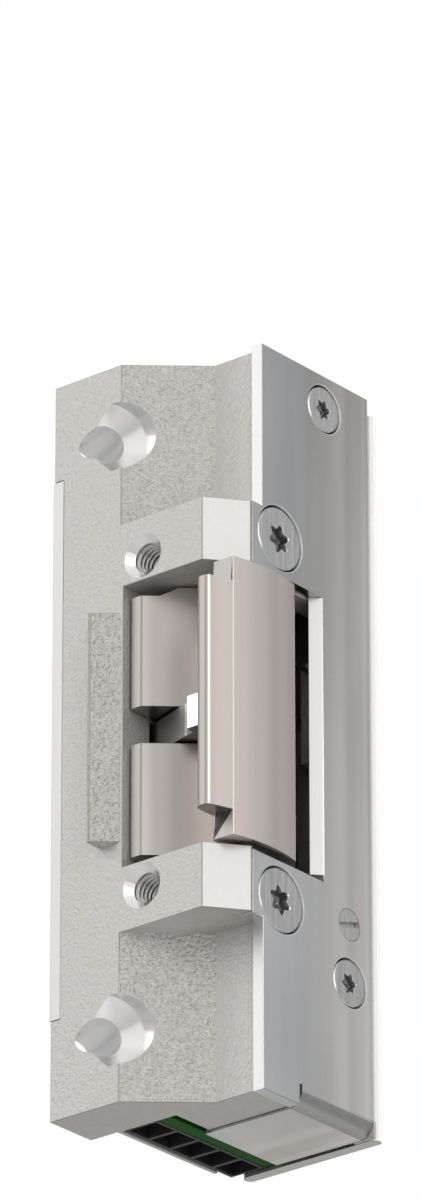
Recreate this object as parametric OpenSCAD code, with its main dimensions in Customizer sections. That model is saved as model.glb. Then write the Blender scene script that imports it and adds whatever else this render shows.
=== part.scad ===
// Electric door strike: a cast housing with a swinging keeper that a solenoid locks.
// Frame: origin midway between the two faceplate screw holes, at the depth where their thread starts.
// +X is to the right as seen from the front, +Y goes into the door frame, +Z is up.
// Inside the modules x is measured from the left side and y from the front face; from_left() moves
// them to the frame.

/* [Body] */
// Height of the cast housing
body_h = 99.3; // [95:0.1:125]
// Width from the left side of the flange to the outer face of the side plate
body_w = 27.9; // [26.5:0.1:36]
// Depth from the front face to the seat of the back plate
body_d = 28.8; // [28.6:0.1:38]
// Wall of the casting
wall = 2; // [1.6:0.1:2.6]
// Depth of the wide front flange
flange_d = 7.7; // [7.2:0.1:9.5]
// Width of the flat front strip at the two ends
flange_w = 10.9; // [10.6:0.1:12]
// How far the rear part of the two ends is set in from the left side
rear_step = 4.3; // [3.6:0.1:5]

/* [Latch pocket and lugs] */
// Height of the latch pocket
pocket_h = 37.8; // [31:0.1:46]
// Height of each lug that borders the pocket
lug_h = 8.6; // [7.6:0.1:10.5]
// Distance from the left side to the left wall of the pocket
pocket_x = 11.3; // [11.1:0.1:12]
// Depth of the pocket
pocket_d = 20; // [19.6:0.1:20.8]
// Distance of a lug's chamfer from the outer face of the side plate
lug_chamfer = 3.9; // [3:0.1:5]
// Height of the strike rib on the front face
rib_h = 2.4; // [1.6:0.1:3.2]
// Length of the strike rib
rib_l = 30.8; // [24:0.1:36]

/* [Faceplate screws] */
// Distance from the left side to the faceplate screw holes
screw_inset = 14.45; // [14:0.05:16]
// Distance of the faceplate screw holes above and below the pocket
screw_edge = 3.3; // [3.2:0.1:4.2]
// Radius of a tapped faceplate hole
screw_hole_r = 1.65; // [1.4:0.05:2]
// Radius of its countersink
screw_sink_r = 2.95; // [2.4:0.05:3.4]

/* [Fixing bores] */
// Height of a fixing bore above and below the centre
fix_z = 40; // [39.5:0.1:43]
// Angle of a fixing bore to the width of the housing
fix_tilt = 27; // [22:1:30]
// Radius of a fixing bore
fix_r = 2.5; // [2.1:0.05:2.8]
// Radius of its head recess
fix_head_r = 4.65; // [4.2:0.05:5]

/* [Plates] */
// Thickness of the side plate
plate_t = 1.7; // [1.4:0.05:2.1]
// How far the side plate stands past the housing at each end
plate_over = 0.35; // [0.1:0.05:0.6]
// Thickness of the left plate
left_t = 1.7; // [1.4:0.05:2.1]
// Height of the left plate
left_h = 72.8; // [64:0.1:73.5]
// How far the left plate stands proud of the flange
left_proud = 0.2; // [0:0.05:0.4]
// Thickness of the back plate
back_t = 1.7; // [1.4:0.05:2.1]

/* [Keeper] */
// Gap above and below the keeper in the pocket
keeper_gap = 0.3; // [0.2:0.05:0.8]
// How much shorter than the arm the ramp blocks are, at each end
block_step = 1.15; // [0.4:0.05:2]
// Height of the slot between the ramp blocks
slot_h = 5; // [4.9:0.1:6.4]
// How much shorter than the arm its forward nose is, at each end
nose_step = 3.3; // [1.6:0.1:5]
// How far the nose reaches in front of the housing
nose_reach = 2.3; // [1.6:0.1:3]
// Radius of the bowed outer face of the arm
arm_bow_r = 21.3; // [18:0.1:28]
// Radius of the keeper pin
keeper_pin_r = 2; // [1.7:0.05:2.4]
// Swing of the keeper from closed to open
keeper_open = 38; // [20:1:38]

/* [Lock] */
// Width of the lock lever
lever_w = 5; // [4:0.1:5.6]
// Radius of the lock lever pin
lever_pin_r = 1.25; // [1:0.05:1.4]
// Radius of the armature pin
armature_pin_r = 0.8; // [0.6:0.05:0.9]
// Radius of the solenoid core
core_r = 3; // [2.6:0.1:3.2]
// Radius of the coil winding
winding_r = 6; // [5:0.1:6.2]

/* [Latch feeler] */
// Height of the feeler blade
feeler_h = 4.4; // [3.6:0.1:4.4]
// Radius of the feeler shaft
feeler_shaft_r = 1.5; // [1.2:0.05:1.7]

/* [Connector] */
// Pitch of the terminals
terminal_pitch = 4.1; // [3.8:0.05:4.2]
// Number of terminals
terminal_count = 5; // [3:1:5]
// Thickness of the circuit board
board_t = 1.9; // [1.6:0.1:2]

/* [Screws] */
// Radius of the large plate screw heads
large_head_r = 4.2; // [3.9:0.05:4.3]
// Radius of the large plate screw threads
large_r = 2; // [1.8:0.05:2.1]
// Radius of the small plate screw heads
small_head_r = 3.1; // [2.8:0.05:3.2]
// Radius of the small plate screw threads
small_r = 1.5; // [1.3:0.05:1.6]
// Radius of the back and left plate screw threads
tiny_r = 1.15; // [1:0.05:1.2]
// Radius of the slotted changeover screw
changeover_r = 2.05; // [1.8:0.05:2.2]

/* [Hidden] */
$fn = 48;

run_gap = 0.05;     // radial gap of a shaft in its bore
seat_gap = 0.03;    // gap round a screw thread or a seated piece
far = 60;           // reach of a cut that leaves the body

half_h = body_h / 2;
pocket_half = pocket_h / 2;
screw_spacing = pocket_h + 2 * screw_edge;
keeper_h = pocket_h - 2 * keeper_gap;
block_h = keeper_h - 2 * block_step;
nose_h = keeper_h - 2 * nose_step;
lug_half = pocket_half + lug_h;
room_half = lug_half + 0.8;             // the inner ends of the two end rooms
room_end = half_h - wall;               // the outer ends of the two end rooms
room_front = flange_d + 2.3;            // the front wall of the two end rooms
plate_in = body_w - plate_t;            // inner face of the side plate
left_in = left_t - left_proud;          // inner face of the left plate
slant_x = 19.8;                         // where the slanted end face turns parallel again
thread_y = screw_sink_r - screw_hole_r + 0.2;
lug_x = body_w - lug_chamfer;           // where a lug's chamfer starts
lug_edge_y = 5;                         // front edge of the side plate beside a lug
plate_front_y = flange_d - 0.7;         // front edge of the side plate at the two ends
plate_rear_y = body_d - 0.7;
cut_half = pocket_half + 0.3;           // half the height of the keeper opening in the side plate
cut_y = 18.9;                           // depth of that opening
rib_x = 7.4;
plate_slit_y = 14.2;                    // where the bottom flange's relief slit ends
slit_z = -half_h + 2.4;
bend_r = 2.2;
bend_x = body_w - bend_r;
bend_z = -half_h - plate_over + bend_r;
flange_y = [plate_slit_y + 0.2, plate_rear_y];

// Keeper
pivot_x = body_w - 7.1;
pivot_y = 12.6;
hub_r = 7;
slot_hub_r = 4.75;
hub_from = 74;                          // polar angles between which the hub is round
hub_to = 176;
keeper_y = 1.1;                         // front of the keeper behind the front face
keeper_x = pocket_x + 0.15;             // left side of the ramp blocks
arm_x = body_w - 3.25;                  // inner face of the arm
bow_x = body_w + 1.1 - arm_bow_r;       // centre of the bowed outer face
bow_y = 7.7;
bush_l = 3.5;
bush_wall = 1.1;
lock_z = -9;                            // height of the lock notch
lock_half = 3.5;
spring_z = 9;                           // height of the keeper spring
keeper_spring_r = keeper_pin_r + 0.85;  // mean radius of the keeper spring
ramp_depth = 9.776;                     // depth of the ramp where it meets the arm
ramp_slope = ramp_depth / (arm_x - keeper_x - 1.9);
cam_rest_r = 4.65;                      // bottom of the lock notch
cam_rise = 1.55;                        // how far the notch floor climbs over the swing

// Lock lever, in the rear room
lever_x = pivot_x + 1.1 - lever_w;
lever_pin_y = body_d - 4.8;
lever_pin_z = 2;
lever_front = body_d - 7.6;             // front of the lower half
lever_t = 2.2;
lever_back = body_d - 2.6;              // front of the upper half
lever_tail_x = lever_x - 1.7;
lever_tail_w = 4.4;
lever_tail_z = -room_half - 5.3;
lever_top_z = room_half + 0.95;
nose_r = 1.1;
nose_y = pivot_y + cam_rest_r + 0.15 + nose_r;

// Solenoid, in the top room
coil_x = rear_step + wall + 7;
coil_y = room_front + 8.6;
hinge_y = room_front + 2.2;
hinge_z = room_half + 2.05;
armature_t = 1.5;
armature_bottom = hinge_z - armature_t / 2;
armature_end = lever_back - 0.2;
yoke_t = 1.5;
yoke_half_w = 6.8;
yoke_top = room_end - 0.2;
core_bottom = armature_bottom + armature_t + 1.2;
bobbin_bottom = core_bottom + 1.1;
bobbin_top = yoke_top - yoke_t - 0.1;
flange_t = 1;

// Latch feeler, in the left block
shaft_x = 7.2;
shaft_y = 10;
feeler_room_half = 9;

// Connector bay
bay_x0 = rear_step + 0.6;
bay_x1 = 12.4;
bay_y0 = flange_d + 0.2;
board_x = bay_x1 - 0.1 - board_t;
terminal_top = -half_h + 9.3;
switch_z = terminal_top + 4.4;
finger_z = switch_z;
terminal_y0 = bay_y0 + 0.2;
terminal_y1 = terminal_y0 + terminal_count * terminal_pitch + 0.1;
terminal_x0 = bay_x0 + 0.1;
terminal_x1 = board_x - 0.1;
lock_switch_z = lever_tail_z + 1;

// Screws: depth and height of each
large_y = 10.5;
large_z = pocket_half + 5.4;
small_spots = [[19.4, half_h - 4.25], [23.85, -pocket_half - 12.15]];
pin_half = large_z - large_r - 0.6;     // the keeper pin ends short of the large screws
changeover_y = 23.75;
changeover_z = -pocket_half - 4.45;
back_x_left = 9.2;
back_z = pocket_half + 5.1;
back_spots = [[back_x_left, back_z], [back_x_left, -back_z], [plate_in - 1.65, back_z],
              [plate_in - 2.7, small_spots[1][1] - 5.55]];
left_spots = [[18, left_h / 2 - 4.2], [18, -left_h / 2 + 4.2]];
boss_x = plate_in - 5.9;                // inner end of the lower boss of a small plate screw

function arc(cx, cy, r, a0, a1, n = 10) =
    [for (i = [0 : n]) let (a = a0 + (a1 - a0) * i / n) [cx + r * cos(a), cy + r * sin(a)]];

function bow_angle(y) = asin((y - bow_y) / arm_bow_r);

module from_left() translate([-screw_inset, -thread_y, 0]) children();

module box(x, y, z) translate([x[0], y[0], z[0]]) cube([x[1] - x[0], y[1] - y[0], z[1] - z[0]]);

module prism(points, z) translate([0, 0, z[0]]) linear_extrude(z[1] - z[0]) polygon(points);

// An outline in depth and height, extruded along the width
module side_prism(points, x)
    translate([x[0], 0, 0]) rotate([90, 0, 90]) linear_extrude(x[1] - x[0]) polygon(points);

module rod_x(y, z, r, x) translate([x[0], y, z]) rotate([0, 90, 0]) cylinder(r = r, h = x[1] - x[0]);

module rod_y(x, z, r, y) translate([x, y[0], z]) rotate([-90, 0, 0]) cylinder(r = r, h = y[1] - y[0]);

module rod_z(x, y, r, z) translate([x, y, z[0]]) cylinder(r = r, h = z[1] - z[0]);

module mirrored_z() {
    children();
    mirror([0, 0, 1]) children();
}

// A countersunk screw along +Z with its head's face at z = 0 and its point below
module countersunk(head_r, r, length, recess_r) difference() {
    union() {
        translate([0, 0, -0.25]) cylinder(r = head_r, h = 0.25);
        translate([0, 0, -0.25 - (head_r - r)]) cylinder(r1 = r, r2 = head_r, h = head_r - r);
        translate([0, 0, -length]) cylinder(r = r, h = length - 1);
    }
    translate([0, 0, -recess_r]) linear_extrude(recess_r + 1) six_lobe(recess_r);
}

module six_lobe(r) polygon([for (i = [0 : 23]) let (a = i * 15, q = r * (0.85 + 0.15 * cos(6 * a)))
    [q * cos(a), q * sin(a)]]);

// The hole that such a screw sits in
module countersink(head_r, r, length) {
    translate([0, 0, -0.3]) cylinder(r = head_r + 0.12, h = 1.3);
    cone_h = head_r + 0.12 - r;
    translate([0, 0, -0.3 - cone_h]) cylinder(r1 = r, r2 = head_r + 0.12, h = cone_h);
    translate([0, 0, -length - 0.2]) cylinder(r = r + seat_gap, h = length);
}

// A round-wire coil along +Z, swept as one closed skin, with an optional straight leg along +Y at its top
module coil(r, wire_r, length, turns, leg = 0) {
    sides = 6;
    rings = turns * 12;
    last = leg > 0 ? rings + 1 : rings;
    points = [for (i = [0 : last]) let (t = min(i, rings), a = t * 30) for (k = [0 : sides - 1])
        let (q = r + wire_r * cos(k * 60))
        [q * cos(a), q * sin(a) + (i > rings ? leg : 0), length * t / rings + wire_r * sin(k * 60)]];
    skin = [for (i = [0 : last - 1]) for (k = [0 : sides - 1]) let (n = (k + 1) % sides)
        [i * sides + k, i * sides + n, (i + 1) * sides + n, (i + 1) * sides + k]];
    start = [for (k = [sides - 1 : -1 : 0]) k];
    end = [for (k = [0 : sides - 1]) last * sides + k];
    polyhedron(points = points, faces = concat([start], skin, [end]));
}

module large_screw_places() for (s = [-1, 1]) translate([body_w, large_y, s * large_z]) rotate([0, 90, 0])
    children();

module small_screw_places() for (p = small_spots) translate([body_w, p[0], p[1]]) rotate([0, 90, 0])
    children();

module back_screw_places() for (p = back_spots) translate([p[0], body_d + 0.1 + back_t, p[1]])
    rotate([-90, 0, 0]) children();

module left_screw_places() for (p = left_spots) translate([-left_proud, p[0], p[1]]) rotate([0, -90, 0])
    children();

module fixing_bore() translate([9.3, 0.1, fix_z]) rotate([0, 0, -fix_tilt]) rotate([0, 90, 0]) {
    cylinder(r = fix_head_r, h = far);
    translate([0, 0, fix_r - fix_head_r]) cylinder(r1 = fix_r, r2 = fix_head_r, h = fix_head_r - fix_r);
    translate([0, 0, -far / 3]) cylinder(r = fix_r, h = far / 3);
}

module faceplate_hole() translate([screw_inset, 0, screw_spacing / 2]) rotate([-90, 0, 0]) {
    cylinder(r = screw_hole_r, h = 11);
    sink_h = screw_sink_r + 1 - screw_hole_r;
    translate([0, 0, -1]) cylinder(r1 = screw_sink_r + 1, r2 = screw_hole_r, h = sink_h);
}

module housing_blank() {
    end_outline = [[0, 0], [flange_w, 0], [slant_x, flange_d], [plate_in, flange_d], [plate_in, body_d],
        [rear_step, body_d], [rear_step, flange_d], [0, flange_d]];
    lug_outline = [[0, 0], [lug_x, 0], [body_w - 0.1, lug_edge_y - 0.15], [body_w - 0.1, lug_edge_y - 0.05],
        [plate_in, lug_edge_y - 0.05], [plate_in, body_d], [left_in, body_d], [left_in, flange_d],
        [0, flange_d]];
    rib_outline = [[rib_x, 0], [rib_x, -rib_h + 0.3], [rib_x + 0.3, -rib_h], [rib_x + 0.6, -rib_h],
        [rib_x + 3.3, -0.05], [rib_x + 3.6, 0], [rib_x + 3.6, 1], [rib_x, 1]];
    prism(end_outline, [-half_h, half_h]);
    prism(lug_outline, [-lug_half, lug_half]);
    box([left_in, slant_x], [flange_d, body_d], [-left_h / 2 - 0.1, left_h / 2 + 0.1]);
    prism(rib_outline, [-rib_l / 2, rib_l / 2]);
}

module housing_rooms() {
    // Latch pocket, open to the front and to the right
    box([pocket_x, far], [-far, pocket_d], [-pocket_half, pocket_half]);
    // Rear room behind the pocket, and the passages past the lugs
    box([pocket_x + 0.7, far], [pocket_d - 1, far], [-pocket_half, pocket_half]);
    box([lever_tail_x - 1, plate_in - 3.3], [pocket_d, far], [-room_half - 1, room_half + 1]);
    box([12.6, lever_tail_x - 0.2], [body_d - 2.4, far], [-room_half - 1, room_half + 1]);
    // Solenoid room
    box([rear_step + wall, far], [room_front, far], [room_half, room_end]);
    // Switch room, closed below by the flange of the side plate
    box([bay_x1, far], [room_front, far], [-room_end, -room_half]);
    box([bay_x1, far], [plate_slit_y, far], [-far, -room_half]);
    // Connector bay and the slot that reaches its screws
    box([bay_x0, bay_x1 + 1], [bay_y0, far], [-far, -room_half]);
    box([-1, bay_x0 + 1], [bay_y0 + 1, body_d - 2.6], [-half_h + 2.4, terminal_top - 2]);
    box([-1, bay_x0 + 1], [body_d - 2.6, far], [-far, -left_h / 2 - 0.2]);
    // Room of the feeler behind the left plate, and its window to the pocket
    box([-1, 9.9], [shaft_y - 4.6, shaft_y + 6], [-feeler_room_half, feeler_room_half]);
    box([5, pocket_x + 1], [shaft_y - 4.8, shaft_y + 2.4], [-slot_h / 2, slot_h / 2]);
}

module housing_bosses() {
    // Cheeks that carry the lever pin, joined behind the lever
    cheek_z = [lever_pin_z - 3.2, lever_pin_z + 3.2];
    box([pocket_x, lever_x - 0.3], [lever_front + 0.2, body_d - 2.5], cheek_z);
    box([15, lever_x - 0.3], [body_d - 2.6, body_d], cheek_z);
    box([lever_x + lever_w + 0.3, plate_in - 0.4], [lever_front + 0.2, body_d],
        [cheek_z[0], spring_z + 3.4]);
    box([15, plate_in - 0.4], [body_d - 1.9, body_d], [cheek_z[0], lever_pin_z + 0.8]);
    // Bosses of the small plate screws and of one back plate screw
    box([coil_x + yoke_half_w + 0.2, plate_in], [small_spots[0][0] - 3, small_spots[0][0] + 3],
        [small_spots[0][1] - 3, half_h]);
    box([boss_x, plate_in], [small_spots[1][0] - 2.8, body_d], [back_spots[3][1] - 2.4, -room_half]);
    // Tab that fills the corner behind the side plate's bottom bend
    box([bend_x - 1, body_w], [plate_rear_y + 0.1, body_d], [-half_h - plate_over, bend_z]);
}

module housing() color("gainsboro") from_left() difference() {
    union() {
        difference() {
            housing_blank();
            housing_rooms();
        }
        housing_bosses();
    }
    // Seat of the left plate
    box([-1, left_in], [-1, far], [-left_h / 2 - 0.1, left_h / 2 + 0.1]);
    mirrored_z() fixing_bore();
    mirrored_z() faceplate_hole();
    large_screw_places() countersink(large_head_r, large_r, 9);
    small_screw_places() countersink(small_head_r, small_r, 8);
    back_screw_places() countersink(tiny_r + 1, tiny_r, 8.5);
    left_screw_places() countersink(tiny_r + 1, tiny_r, 4.6);
    rod_z(pivot_x, pivot_y, keeper_pin_r + seat_gap, [-pin_half, pin_half]);
    rod_x(lever_pin_y, lever_pin_z, lever_pin_r + seat_gap, [pocket_x + 1.2, far]);
    rod_z(shaft_x, shaft_y, feeler_shaft_r + run_gap, [-room_half - 1, feeler_room_half + 3]);
    rod_x(changeover_y, changeover_z, changeover_r + run_gap, [plate_in - 3.4, far]);
    // Slot that holds one leg of the keeper spring
    leg_x = pivot_x + keeper_spring_r;
    box([leg_x - 0.45, leg_x + 0.55], [lever_front, lever_front + 1.6], [spring_z + 1.6, spring_z + 2.8]);
}

module side_plate() color("silver") from_left() difference() {
    union() {
        outline = [[plate_rear_y, half_h + plate_over], [plate_front_y, half_h + plate_over],
            [plate_front_y, lug_half + 0.1], [lug_edge_y, lug_half + 0.1], [lug_edge_y, cut_half],
            [cut_y, cut_half], [cut_y, -cut_half], [lug_edge_y, -cut_half], [lug_edge_y, -lug_half - 0.1],
            [plate_front_y, -lug_half - 0.1], [plate_front_y, -half_h - plate_over],
            [plate_slit_y - 0.3, -half_h - plate_over], [plate_slit_y - 0.3, slit_z],
            [flange_y[0], slit_z], [flange_y[0], bend_z], [plate_rear_y, bend_z]];
        side_prism(outline, [plate_in, body_w]);
        // Bottom flange, bent inwards
        intersection() {
            difference() {
                rod_y(bend_x, bend_z, bend_r, flange_y);
                rod_y(bend_x, bend_z, bend_r - plate_t, [0, far]);
            }
            box([bend_x, far], flange_y, [-far, bend_z]);
        }
        box([bay_x1 + 0.3, bend_x], flange_y, [bend_z - bend_r, bend_z - bend_r + plate_t]);
        // Lip of the keeper opening, bent inwards at 45 degrees
        prism([[plate_in, cut_y + plate_t], [plate_in, cut_y + 0.9], [plate_in - 0.75, cut_y + 0.15],
            [body_w - 1.3, cut_y - 1.3], [body_w, cut_y], [body_w, cut_y + plate_t]],
            [-pocket_half + 0.6, pocket_half - 0.3]);
    }
    large_screw_places() countersink(large_head_r, large_r + 0.1, 9);
    small_screw_places() countersink(small_head_r, small_r + 0.1, 8);
    rod_x(changeover_y, changeover_z, changeover_r + run_gap, [0, far]);
}

module left_plate() color("lightgray") from_left() difference() {
    box([-left_proud, left_in - 0.02], [0, body_d], [-left_h / 2, left_h / 2]);
    left_screw_places() countersink(tiny_r + 1, tiny_r + 0.1, 4.6);
}

module back_plate() color("silver") from_left() difference() {
    x = [6.4, body_w - 0.2];
    y = body_d + 0.1;
    z = [-half_h - plate_over, half_h - 1.4];
    union() {
        box([x[0] + back_t / 2, x[1] - back_t / 2], [y, y + back_t], z);
        for (e = [x[0] + back_t / 2, x[1] - back_t / 2]) rod_z(e, y + back_t / 2, back_t / 2, z);
    }
    back_screw_places() countersink(tiny_r + 1, tiny_r + 0.1, 8.5);
}

// Plan of the keeper: ramp blocks at the left, hub behind, bowed arm at the right
function keeper_outline() = let (end = bow_angle(12.3), cap_x = bow_x + (arm_bow_r - 1.6) * cos(end),
    cap_y = bow_y + (arm_bow_r - 1.6) * sin(end), v_y = keeper_y + ramp_depth)
    concat([[keeper_x, keeper_y + 0.3], [keeper_x + 0.3, keeper_y]],
        arc(keeper_x + 1.6, keeper_y + 0.6, 0.6, -90, -50, 3),
        [[arm_x - 1.6, v_y - 1.6 * ramp_slope + 0.1], [arm_x - 0.6, v_y - 0.75], [arm_x, v_y - 2.2]],
        [[arm_x, keeper_y + 0.3], [arm_x + 0.3, keeper_y]],
        arc(bow_x, bow_y, arm_bow_r, bow_angle(keeper_y + 0.05), end, 16),
        arc(cap_x, cap_y, 1.6, end + 8, 56, 6),
        arc(pivot_x, pivot_y, hub_r, hub_from, hub_to, 14),
        [[keeper_x + 1.2, pivot_y - 1.2], [keeper_x, pivot_y - 3]]);

function nose_outline() = concat([[arm_x, keeper_y + 2], [arm_x, 1.1 - nose_reach]],
    arc(arm_x + 1.1, 1.1 - nose_reach, 1.1, 180, 270, 6),
    arc(arm_x + 1.5, 0.8 - nose_reach, 0.8, -90, -14, 5),
    [[bow_x + arm_bow_r * cos(bow_angle(keeper_y + 0.4)) - 0.02, keeper_y + 0.4],
        [arm_x + 2, keeper_y + 2]]);

// Floor of the lock notch: it climbs evenly, so the lever rides out as the keeper turns
function notch_outline() = concat(
    [for (i = [0 : 12]) let (f = -12 + 52 * i / 12, q = cam_rest_r + cam_rise * max(0, f) / keeper_open)
        [pivot_x + q * sin(f), pivot_y + q * cos(f)]],
    arc(pivot_x, pivot_y, hub_r + 2.5, 50, 102, 8));

module keeper() color("tan") from_left() difference() {
    union() {
        prism(keeper_outline(), [-keeper_h / 2, keeper_h / 2]);
        prism(nose_outline(), [-nose_h / 2, nose_h / 2]);
    }
    // The ramp blocks are shorter than the arm at their front
    mirrored_z() translate([0, keeper_y + 9, 0]) rotate([90, 0, 0]) linear_extrude(12)
        polygon([[keeper_x - 1, block_h / 2], [keeper_x + 3.6, block_h / 2],
            [keeper_x + 5.6, keeper_h / 2 + 0.1], [keeper_x - 1, keeper_h / 2 + 0.1]]);
    // Slot for the feeler between the blocks
    translate([0, 0, -slot_h / 2]) linear_extrude(slot_h) difference() {
        translate([pocket_x - 1, -5]) square([arm_x - pocket_x + 0.98, 30]);
        translate([pivot_x, pivot_y]) circle(r = slot_hub_r);
    }
    prism(notch_outline(), [lock_z - lock_half, lock_z + lock_half]);
    rod_z(pivot_x, pivot_y, keeper_pin_r + 0.3, [-far, far]);
    mirrored_z() rod_z(pivot_x, pivot_y, keeper_pin_r + bush_wall, [keeper_h / 2 - bush_l, far]);
    // Room of the keeper spring
    rod_z(pivot_x, pivot_y, keeper_spring_r + 0.6, [spring_z - 3, spring_z + 3]);
    box([pivot_x - keeper_spring_r - 0.55, arm_x + 1.5], [pivot_y + 1.2, far], [spring_z - 3, spring_z + 3]);
}

module keeper_pin() color("silver") from_left()
    rod_z(pivot_x, pivot_y, keeper_pin_r, [-pin_half + 0.1, pin_half - 0.1]);

module keeper_bushes() color("peru") from_left() mirrored_z() difference() {
    rod_z(pivot_x, pivot_y, keeper_pin_r + bush_wall - seat_gap, [keeper_h / 2 - bush_l, keeper_h / 2]);
    rod_z(pivot_x, pivot_y, keeper_pin_r + run_gap, [0, far]);
}

module keeper_spring() color("dimgray") from_left() translate([pivot_x, pivot_y, spring_z - 2.2])
    coil(keeper_spring_r, 0.35, 4.4, 5, lever_front + 1.4 - pivot_y);

module lock_lever() color("darkgray") from_left() {
    eye_r = 2.4;
    x = [lever_x, lever_x + lever_w];
    difference() {
        union() {
            rod_x(lever_pin_y, lever_pin_z, eye_r, x);
            side_prism([[lever_front, -16], [lever_front + lever_t, -16], [lever_front + lever_t, -3],
                [lever_pin_y + 1.8, lever_pin_z - 1.6], [lever_back + lever_t * 0.9, lever_pin_z + 5.4],
                [lever_back + lever_t * 0.9, lever_top_z], [lever_back + 1.3, lever_top_z],
                [lever_back, lever_top_z - 0.5], [lever_back, lever_pin_z + 6],
                [lever_front + 0.4, lever_pin_z + 0.4], [lever_front, -2]], x);
            // Tail that holds the lock switch down
            box([lever_tail_x, lever_tail_x + lever_tail_w], [lever_front, lever_front + lever_t],
                [lever_tail_z, -15]);
            // Nose that drops into the keeper's notch
            box([pivot_x - nose_r, pivot_x + nose_r], [nose_y, lever_front + 1], [lock_z - 2.5, lock_z + 1]);
            rod_z(pivot_x, nose_y, nose_r, [lock_z - 2.5, lock_z + 1]);
        }
        rod_x(lever_pin_y, lever_pin_z, lever_pin_r + run_gap, [0, far]);
    }
}

module lock_lever_pin() color("silver") from_left()
    rod_x(lever_pin_y, lever_pin_z, lever_pin_r, [pocket_x + 1.4, plate_in - 0.3]);

module lock_lever_spring() color("dimgray") from_left()
    translate([pivot_x - 1.4, lever_front + lever_t + 0.3, lock_z - 5]) rotate([-90, 0, 0])
        coil(1.8, 0.25, body_d - lever_front - lever_t - 0.6, 5);

module armature() color("slategray") from_left() difference() {
    union() {
        rod_x(hinge_y, hinge_z, 1.9, [coil_x - 5.8, coil_x + 5.8]);
        box([coil_x - 5.8, coil_x + 5.8], [hinge_y, armature_end - 1.8],
            [armature_bottom, armature_bottom + armature_t]);
        box([coil_x, lever_x + lever_w - 0.2], [armature_end - 3.8, armature_end],
            [armature_bottom, armature_bottom + armature_t]);
        // Lip that blocks the lever
        box([lever_x, lever_x + lever_w - 0.2], [armature_end - 1.2, armature_end],
            [lever_top_z - 0.45, armature_bottom + 1]);
    }
    rod_x(hinge_y, hinge_z, armature_pin_r + run_gap, [0, far]);
}

module armature_pin() color("silver") from_left()
    rod_x(hinge_y, hinge_z, armature_pin_r, [coil_x - yoke_half_w, coil_x + yoke_half_w]);

module armature_spring() color("dimgray") from_left()
    translate([coil_x - 3.6, coil_y + 4.4, armature_bottom + armature_t + 0.25])
        coil(0.9, 0.2, bobbin_bottom - armature_bottom - armature_t - 0.5, 4);

module yoke() color("lightslategray") from_left() difference() {
    ear_z = [hinge_z - 1.7, hinge_z + 4];
    union() {
        box([coil_x - yoke_half_w, coil_x + yoke_half_w], [room_front + 0.1, room_front + 0.1 + yoke_t],
            [hinge_z + 2.1, yoke_top]);
        box([coil_x - yoke_half_w, coil_x + yoke_half_w], [room_front + 0.1, coil_y + 6.4],
            [yoke_top - yoke_t, yoke_top]);
        box([coil_x - yoke_half_w, coil_x - 6], [room_front + 0.1, hinge_y + 1.7], ear_z);
        box([coil_x + 6, coil_x + yoke_half_w], [room_front + 0.1, hinge_y + 1.7], ear_z);
    }
    rod_x(hinge_y, hinge_z, armature_pin_r + seat_gap, [0, far]);
    rod_z(coil_x, coil_y, core_r - 1.2 + seat_gap, [0, far]);
}

module solenoid_core() color("gray") from_left() {
    rod_z(coil_x, coil_y, core_r, [core_bottom, yoke_top - yoke_t]);
    rod_z(coil_x, coil_y, core_r - 1.2, [yoke_top - yoke_t, yoke_top]);
}

module coil_bobbin() color("ivory") from_left() difference() {
    union() {
        rod_z(coil_x, coil_y, winding_r + 0.4, [bobbin_bottom, bobbin_bottom + flange_t]);
        rod_z(coil_x, coil_y, winding_r + 0.4, [bobbin_top - flange_t, bobbin_top]);
        rod_z(coil_x, coil_y, core_r + 0.8, [bobbin_bottom, bobbin_top]);
    }
    rod_z(coil_x, coil_y, core_r + run_gap, [0, far]);
}

module coil_winding() color("chocolate") from_left() difference() {
    rod_z(coil_x, coil_y, winding_r, [bobbin_bottom + flange_t + 0.05, bobbin_top - flange_t - 0.05]);
    rod_z(coil_x, coil_y, core_r + 0.85, [0, far]);
}

// Two insulated leads from the coil down the rear passage to the board
module coil_leads() color("darkred") from_left() for (x = [13.2, 14.3]) {
    z = [lock_switch_z - 7, bobbin_bottom + 0.5];
    lead_y = body_d - 1;
    rod_z(x, lead_y, 0.4, z);
    translate([x, lead_y, z[1]]) sphere(r = 0.4);
    rod_y(x, z[1], 0.4, [coil_y + winding_r + 0.5, lead_y]);
    translate([x, lead_y, z[0]]) sphere(r = 0.4);
    rod_x(lead_y, z[0] , 0.4, [bay_x1, x]);
}

module latch_feeler() color("whitesmoke") from_left() {
    blade = [[shaft_x, shaft_y - 2.6], [12.2, 5.5], [18.4, 3.5], [19.8, 3.3], [20, 1.9], [21.8, 1.9],
        [22, 2.6], [20.9, 4.8], [16, 7.4], [shaft_x + 1.8, shaft_y + 2]];
    difference() {
        union() {
            prism(blade, [-feeler_h / 2, feeler_h / 2]);
            rod_z(shaft_x, shaft_y, 2.6, [-4, feeler_h / 2 + 1.4]);
        }
        rod_z(shaft_x, shaft_y, feeler_shaft_r + 0.01, [-far, far]);
    }
}

// Shaft of the feeler, with the finger that works the latch switch at its foot
module feeler_shaft() color("silver") from_left() {
    rod_z(shaft_x, shaft_y, feeler_shaft_r, [finger_z - 1.2, feeler_room_half + 2.6]);
    rod_z(shaft_x, shaft_y, feeler_shaft_r + 0.45, [finger_z - 1, finger_z + 1]);
    box([shaft_x, shaft_x + 2.7], [shaft_y, shaft_y + 2.9], [finger_z - 1, finger_z + 1]);
}

module feeler_spring() color("dimgray") from_left()
    translate([shaft_x, shaft_y, feeler_h / 2 + 2]) coil(feeler_shaft_r + 0.7, 0.3, 4.2, 4);

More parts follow.
